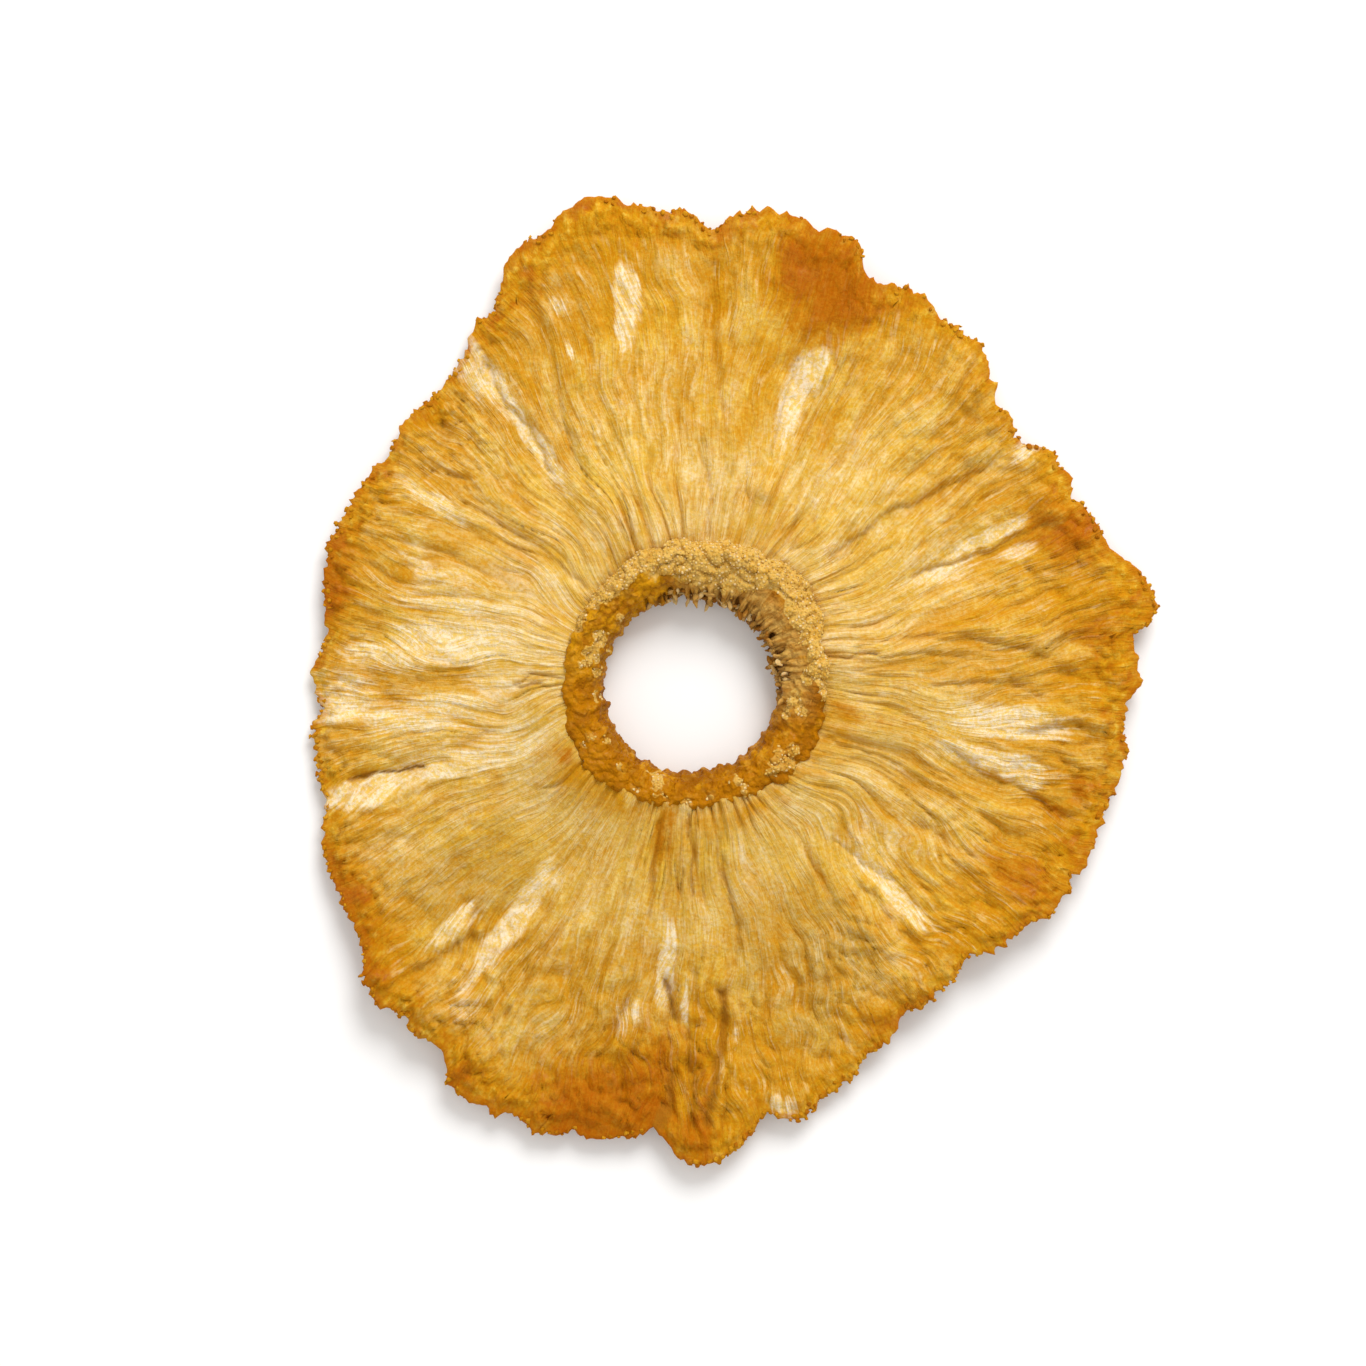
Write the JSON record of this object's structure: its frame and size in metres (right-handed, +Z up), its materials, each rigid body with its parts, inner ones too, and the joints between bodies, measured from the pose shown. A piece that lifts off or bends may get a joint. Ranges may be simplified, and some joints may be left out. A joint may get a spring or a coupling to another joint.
{
  "type": "dried pineapple ring",
  "caption": "Leathery ring of dried pineapple with a cored hole, a crusty raised collar, radial pleats and a thin scalloped, lightly curled rim.",
  "frame": {"origin": "on the surface that the ring lies on, under the middle of its outline", "axes": "+Z up through the shown face; +Y along the ring's longest diameter, towards the rim that is uppermost in the picture; +X to the right of it"},
  "size_m": [0.0852, 0.0974, 0.0068],
  "materials": {
    "dried_flesh": "dry leathery fruit flesh: straw gold with radial amber fibres, toasted amber rim, satin"
  },
  "bodies": {
    "root": {"pineapple_ring": "dried_flesh"}
  },
  "joints": []
}
